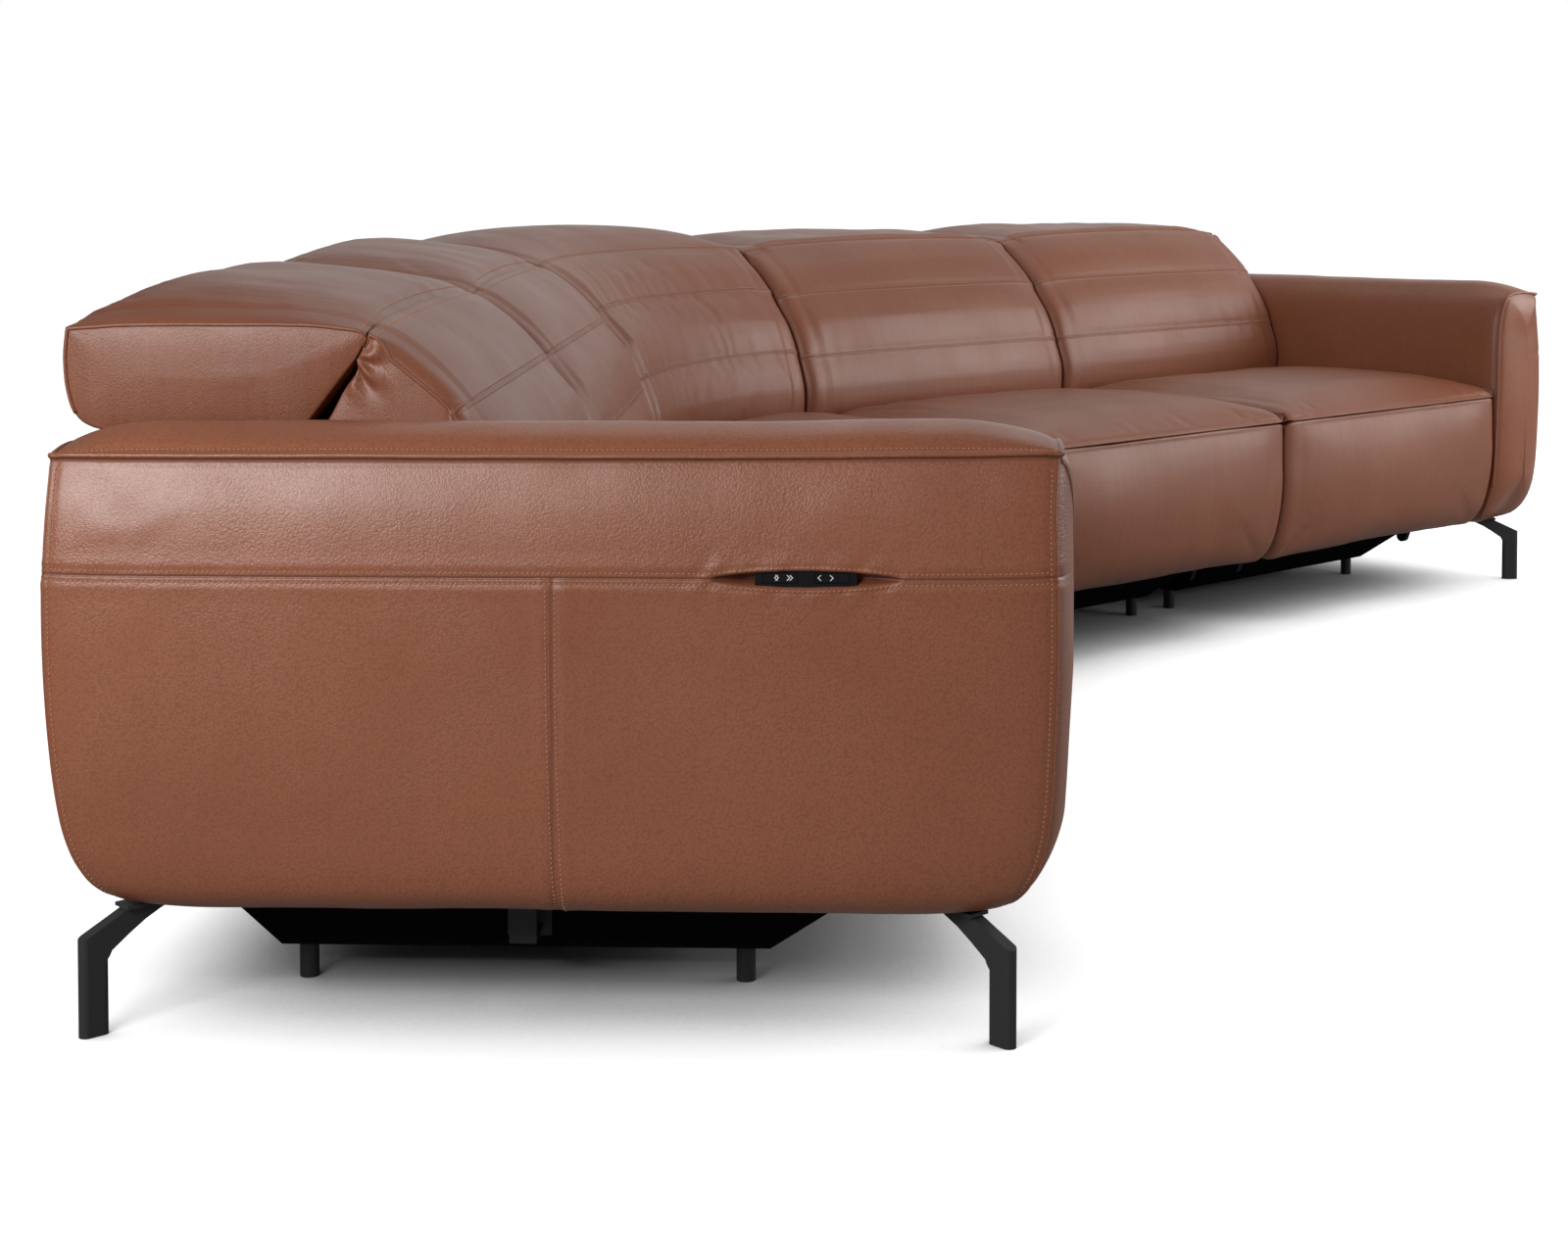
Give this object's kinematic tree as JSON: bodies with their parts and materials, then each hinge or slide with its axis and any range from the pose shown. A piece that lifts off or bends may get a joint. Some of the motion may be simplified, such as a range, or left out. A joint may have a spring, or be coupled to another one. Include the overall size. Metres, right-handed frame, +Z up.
{
  "type": "reclining sectional sofa",
  "caption": "Leather sectional sofa turned through an angle by a curved corner seat, with power reclining seats, fold-up headrests, rounded arms and slim black metal legs.",
  "frame": {"origin": "on the floor, at the middle of the sofa's box", "axes": "+X along the sofa from the left arm to the right arm, -Y towards the sitters' side, +Z up"},
  "size_m": [4.046, 1.738, 0.782],
  "materials": {
    "leather": "satin",
    "black_cloth": "matte",
    "black_steel": "satin",
    "bare_steel": "satin",
    "plywood": "matte",
    "black_plastic": "satin"
  },
  "bodies": {
    "root": {"left_base": "black_cloth", "left_side_rails": "bare_steel", "left_seat_deck": "bare_steel", "left_seat_cushion": "leather", "left_actuator": "black_plastic", "middle_base": "black_cloth", "middle_side_rails": "bare_steel", "middle_seat_deck": "bare_steel", "middle_seat_cushion": "leather", "middle_actuator": "black_plastic", "right_base": "black_cloth", "right_side_rails": "bare_steel", "right_seat_deck": "bare_steel", "right_seat_cushion": "leather", "right_actuator": "black_plastic", "inner_seat_frame": "plywood", "inner_seat_cushion": "leather", "inner_back_frame": "plywood", "inner_back_cushion": "leather", "corner_frame": "plywood", "corner_seat_cushion": "leather", "corner_back_cushion": "leather", "left_arm": "leather", "left_arm_legs": "black_steel", "left_control_pod": "black_plastic", "right_arm": "leather", "right_arm_legs": "black_steel", "right_control_pod": "black_plastic", "base_feet": "black_steel", "module_connectors": "bare_steel"},
    "left_drive": {"left_drive_links": "bare_steel"},
    "left_lift": {"left_lift_links": "bare_steel"},
    "left_footrest": {"left_footrest_board": "plywood", "left_footrest_cushion": "leather"},
    "left_back": {"left_back_frame": "bare_steel", "left_back_cushion": "leather"},
    "left_headrest": {"left_headrest_plate": "bare_steel", "left_headrest_cushion": "leather"},
    "middle_drive": {"middle_drive_links": "bare_steel"},
    "middle_lift": {"middle_lift_links": "bare_steel"},
    "middle_footrest": {"middle_footrest_board": "plywood", "middle_footrest_cushion": "leather"},
    "middle_back": {"middle_back_frame": "bare_steel", "middle_back_cushion": "leather"},
    "middle_headrest": {"middle_headrest_plate": "bare_steel", "middle_headrest_cushion": "leather"},
    "right_drive": {"right_drive_links": "bare_steel"},
    "right_lift": {"right_lift_links": "bare_steel"},
    "right_footrest": {"right_footrest_board": "plywood", "right_footrest_cushion": "leather"},
    "right_back": {"right_back_frame": "bare_steel", "right_back_cushion": "leather"},
    "right_headrest": {"right_headrest_plate": "bare_steel", "right_headrest_cushion": "leather"},
    "inner_headrest": {"inner_headrest_plate": "bare_steel", "inner_headrest_cushion": "leather"},
    "left_recline_rocker_body": {"left_recline_rocker": "black_plastic"},
    "left_headrest_rocker_body": {"left_headrest_rocker": "black_plastic"},
    "right_recline_rocker_body": {"right_recline_rocker": "black_plastic"},
    "right_headrest_rocker_body": {"right_headrest_rocker": "black_plastic"}
  },
  "joints": [
    {"name": "left_footrest_drive", "type": "hinge", "parent": "root", "child": "left_drive", "pos_m": [-1.16759, -0.53714, 0.272], "axis": [-0.9239, -0.3827, 0], "range_deg": [0, 90]},
    {"name": "left_footrest_lift", "type": "hinge", "parent": "left_drive", "child": "left_lift", "pos_m": [-1.19114, -0.48026, 0.10286], "axis": [-0.9239, -0.3827, 0], "range_deg": [-150, 0]},
    {"name": "left_footrest_board_hinge", "type": "hinge", "parent": "left_lift", "child": "left_footrest", "pos_m": [-1.16759, -0.53714, 0.272], "axis": [-0.9239, -0.3827, 0], "range_deg": [0, 150]},
    {"name": "left_back_recline", "type": "hinge", "parent": "root", "child": "left_back", "pos_m": [-1.36084, -0.07058, 0.3], "axis": [-0.9239, -0.3827, 0], "range_deg": [0, 20]},
    {"name": "left_headrest_tilt", "type": "hinge", "parent": "left_back", "child": "left_headrest", "pos_m": [-1.41518, 0.06061, 0.716], "axis": [0.9239, 0.3827, 0], "range_deg": [0, 70]},
    {"name": "middle_footrest_drive", "type": "hinge", "parent": "root", "child": "middle_drive", "pos_m": [0.48853, -0.25587, 0.272], "axis": [-0.9239, 0.3827, 0], "range_deg": [0, 90]},
    {"name": "middle_footrest_lift", "type": "hinge", "parent": "middle_drive", "child": "middle_lift", "pos_m": [0.51209, -0.19899, 0.10286], "axis": [-0.9239, 0.3827, 0], "range_deg": [-150, 0]},
    {"name": "middle_footrest_board_hinge", "type": "hinge", "parent": "middle_lift", "child": "middle_footrest", "pos_m": [0.48853, -0.25587, 0.272], "axis": [-0.9239, 0.3827, 0], "range_deg": [0, 150]},
    {"name": "middle_back_recline", "type": "hinge", "parent": "root", "child": "middle_back", "pos_m": [0.68179, 0.21069, 0.3], "axis": [-0.9239, 0.3827, 0], "range_deg": [0, 20]},
    {"name": "middle_headrest_tilt", "type": "hinge", "parent": "middle_back", "child": "middle_headrest", "pos_m": [0.73613, 0.34188, 0.716], "axis": [0.9239, -0.3827, 0], "range_deg": [0, 70]},
    {"name": "right_footrest_drive", "type": "hinge", "parent": "root", "child": "right_drive", "pos_m": [1.16759, -0.53714, 0.272], "axis": [-0.9239, 0.3827, 0], "range_deg": [0, 90]},
    {"name": "right_footrest_lift", "type": "hinge", "parent": "right_drive", "child": "right_lift", "pos_m": [1.19114, -0.48026, 0.10286], "axis": [-0.9239, 0.3827, 0], "range_deg": [-150, 0]},
    {"name": "right_footrest_board_hinge", "type": "hinge", "parent": "right_lift", "child": "right_footrest", "pos_m": [1.16759, -0.53714, 0.272], "axis": [-0.9239, 0.3827, 0], "range_deg": [0, 150]},
    {"name": "right_back_recline", "type": "hinge", "parent": "root", "child": "right_back", "pos_m": [1.36084, -0.07058, 0.3], "axis": [-0.9239, 0.3827, 0], "range_deg": [0, 20]},
    {"name": "right_headrest_tilt", "type": "hinge", "parent": "right_back", "child": "right_headrest", "pos_m": [1.41518, 0.06061, 0.716], "axis": [0.9239, -0.3827, 0], "range_deg": [0, 70]},
    {"name": "inner_headrest_tilt", "type": "hinge", "parent": "root", "child": "inner_headrest", "pos_m": [-0.73613, 0.34188, 0.716], "axis": [0.9239, 0.3827, 0], "range_deg": [0, 70]},
    {"name": "left_recline_rocker_tilt", "type": "hinge", "parent": "root", "child": "left_recline_rocker_body", "pos_m": [-1.70136, -0.63268, 0.495], "axis": [0, 0, 1], "range_deg": [-4, 4], "stiffness_Nm_per_rad": 0.05},
    {"name": "left_headrest_rocker_tilt", "type": "hinge", "parent": "root", "child": "left_headrest_rocker_body", "pos_m": [-1.72202, -0.58279, 0.495], "axis": [0, 0, 1], "range_deg": [-4, 4], "stiffness_Nm_per_rad": 0.05},
    {"name": "right_recline_rocker_tilt", "type": "hinge", "parent": "root", "child": "right_recline_rocker_body", "pos_m": [1.70136, -0.63268, 0.495], "axis": [0, 0, 1], "range_deg": [-4, 4], "stiffness_Nm_per_rad": 0.05},
    {"name": "right_headrest_rocker_tilt", "type": "hinge", "parent": "root", "child": "right_headrest_rocker_body", "pos_m": [1.72202, -0.58279, 0.495], "axis": [0, 0, 1], "range_deg": [-4, 4], "stiffness_Nm_per_rad": 0.05}
  ],
  "couplings": [
    {"joint": "left_footrest_lift", "follows": "left_footrest_drive", "ratio": -1.6667},
    {"joint": "left_footrest_board_hinge", "follows": "left_footrest_drive", "ratio": 1.6667},
    {"joint": "left_back_recline", "follows": "left_footrest_drive", "ratio": 0.22222},
    {"joint": "middle_footrest_lift", "follows": "middle_footrest_drive", "ratio": -1.6667},
    {"joint": "middle_footrest_board_hinge", "follows": "middle_footrest_drive", "ratio": 1.6667},
    {"joint": "middle_back_recline", "follows": "middle_footrest_drive", "ratio": 0.22222},
    {"joint": "right_footrest_lift", "follows": "right_footrest_drive", "ratio": -1.6667},
    {"joint": "right_footrest_board_hinge", "follows": "right_footrest_drive", "ratio": 1.6667},
    {"joint": "right_back_recline", "follows": "right_footrest_drive", "ratio": 0.22222}
  ]
}
